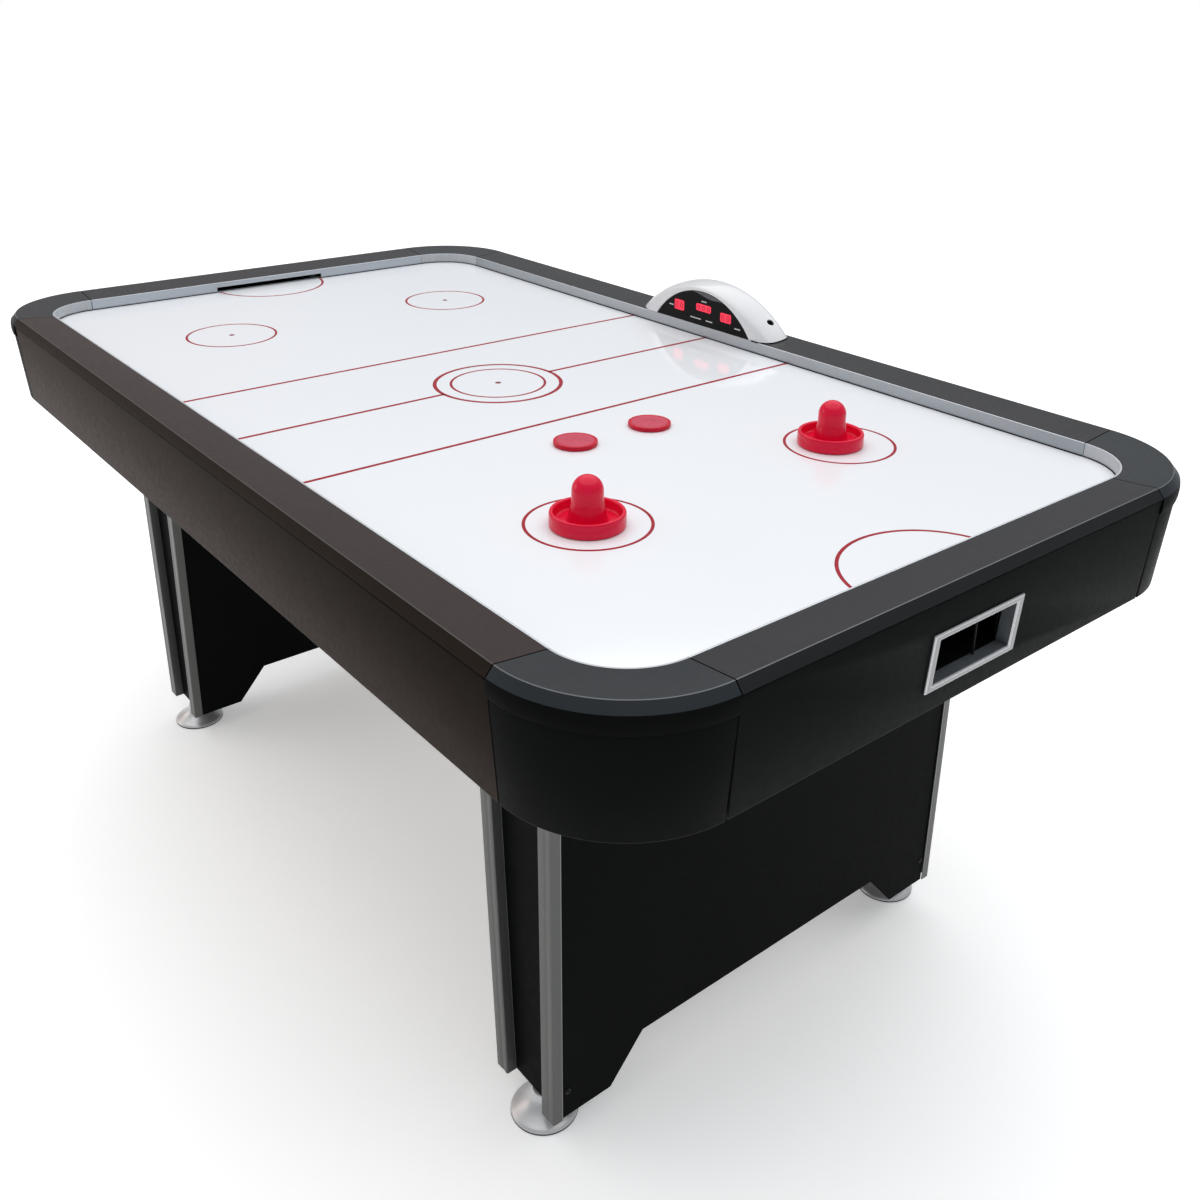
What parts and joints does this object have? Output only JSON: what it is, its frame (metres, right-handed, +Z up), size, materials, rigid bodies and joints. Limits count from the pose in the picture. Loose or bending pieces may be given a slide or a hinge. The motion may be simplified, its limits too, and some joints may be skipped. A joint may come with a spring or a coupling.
{
  "type": "air hockey table",
  "caption": "Full-size air hockey table with a wide rounded rail, boxed skirt, pedestal legs, puck returns, arched scorer, blower, strikers and pucks.",
  "frame": {"origin": "on the floor, under the centre of the table", "axes": "+X along the table to its near end, -Y to the front long side, +Y to the side with the scorer, +Z up"},
  "size_m": [1.9614, 1.1154, 0.9367],
  "materials": {
    "deck_white": "gloss white laminate with red rink lines",
    "tray_board": "raw fibreboard",
    "rail_charcoal": "charcoal satin foil",
    "cap_charcoal": "charcoal satin",
    "liner_metal": "satin grey",
    "liner_corner": "light grey gloss",
    "apron_black": "black foil",
    "corner_black": "black satin",
    "box_black": "black",
    "bezel_silver": "satin silver",
    "housing_black": "moulded black",
    "motor_steel": "plated",
    "fan_plastic": "moulded black",
    "panel_black": "black foil",
    "strip_aluminium": "grey anodised",
    "foot_silver": "satin",
    "shell_white": "pearl white",
    "face_black": "black gloss",
    "button_black": "black",
    "striker_red": "red gloss",
    "puck_red": "red satin"
  },
  "bodies": {
    "table": {"playfield": "deck_white", "air_plenum": "tray_board", "side_rail_front": "rail_charcoal", "side_rail_back": "rail_charcoal", "end_rail_near": "rail_charcoal", "end_rail_far": "rail_charcoal", "side_liner_front": "liner_metal", "side_liner_back": "liner_metal", "end_liner_near": "liner_metal", "end_liner_far": "liner_metal", "side_apron_front": "apron_black", "side_apron_back": "apron_black", "end_apron_near": "apron_black", "end_apron_far": "apron_black", "corner_cap_near_front": "cap_charcoal", "corner_liner_near_front": "liner_corner", "corner_apron_near_front": "corner_black", "corner_cap_near_back": "cap_charcoal", "corner_liner_near_back": "liner_corner", "corner_apron_near_back": "corner_black", "corner_cap_far_front": "cap_charcoal", "corner_liner_far_front": "liner_corner", "corner_apron_far_front": "corner_black", "corner_cap_far_back": "cap_charcoal", "corner_liner_far_back": "liner_corner", "corner_apron_far_back": "corner_black", "return_box_near": "box_black", "return_box_far": "box_black", "return_bezel_near": "bezel_silver", "return_bezel_far": "bezel_silver", "blower_housing": "housing_black", "fan_motor": "motor_steel", "outer_panel_near": "panel_black", "inner_panel_near": "panel_black", "side_board_near_front": "panel_black", "side_board_near_back": "panel_black", "outer_strip_near_front": "strip_aluminium", "inner_strip_near_front": "strip_aluminium", "outer_strip_near_back": "strip_aluminium", "inner_strip_near_back": "strip_aluminium", "outer_panel_far": "panel_black", "inner_panel_far": "panel_black", "side_board_far_front": "panel_black", "side_board_far_back": "panel_black", "outer_strip_far_front": "strip_aluminium", "inner_strip_far_front": "strip_aluminium", "outer_strip_far_back": "strip_aluminium", "inner_strip_far_back": "strip_aluminium", "scorer_shell": "shell_white", "scorer_face": "face_black"},
    "foot_near_front": {"foot_near_front": "foot_silver"},
    "foot_near_back": {"foot_near_back": "foot_silver"},
    "foot_far_front": {"foot_far_front": "foot_silver"},
    "foot_far_back": {"foot_far_back": "foot_silver"},
    "impeller": {"impeller": "fan_plastic"},
    "scorer_button": {"scorer_button": "button_black"},
    "striker_front": {"striker_front": "striker_red"},
    "striker_back": {"striker_back": "striker_red"},
    "puck_front": {"puck_front": "puck_red"},
    "puck_back": {"puck_back": "puck_red"}
  },
  "joints": [
    {"name": "foot_near_front_screw", "type": "slide", "parent": "table", "child": "foot_near_front", "axis": [0, 0, 1], "range_m": [-0.012, 0.004]},
    {"name": "foot_near_back_screw", "type": "slide", "parent": "table", "child": "foot_near_back", "axis": [0, 0, 1], "range_m": [-0.012, 0.004]},
    {"name": "foot_far_front_screw", "type": "slide", "parent": "table", "child": "foot_far_front", "axis": [0, 0, 1], "range_m": [-0.012, 0.004]},
    {"name": "foot_far_back_screw", "type": "slide", "parent": "table", "child": "foot_far_back", "axis": [0, 0, 1], "range_m": [-0.012, 0.004]},
    {"name": "impeller_spin", "type": "hinge", "parent": "table", "child": "impeller", "pos_m": [0, 0, 0.72], "axis": [0, 0, 1], "continuous": true},
    {"name": "scorer_button_press", "type": "slide", "parent": "table", "child": "scorer_button", "axis": [-0.5637, 0.1029, -0.8195], "range_m": [0, 0.0015], "stiffness_N_per_m": 800},
    {"name": "striker_front_glide", "type": "slide", "parent": "table", "child": "striker_front", "axis": [1, 0, 0], "range_m": [-1.38, 0.28]},
    {"name": "striker_back_glide", "type": "slide", "parent": "table", "child": "striker_back", "axis": [1, 0, 0], "range_m": [-1.36, 0.29]},
    {"name": "puck_front_glide", "type": "slide", "parent": "table", "child": "puck_front", "axis": [1, 0, 0], "range_m": [-1.17, 0.54]},
    {"name": "puck_back_glide", "type": "slide", "parent": "table", "child": "puck_back", "axis": [1, 0, 0], "range_m": [-1.17, 0.54]}
  ]
}
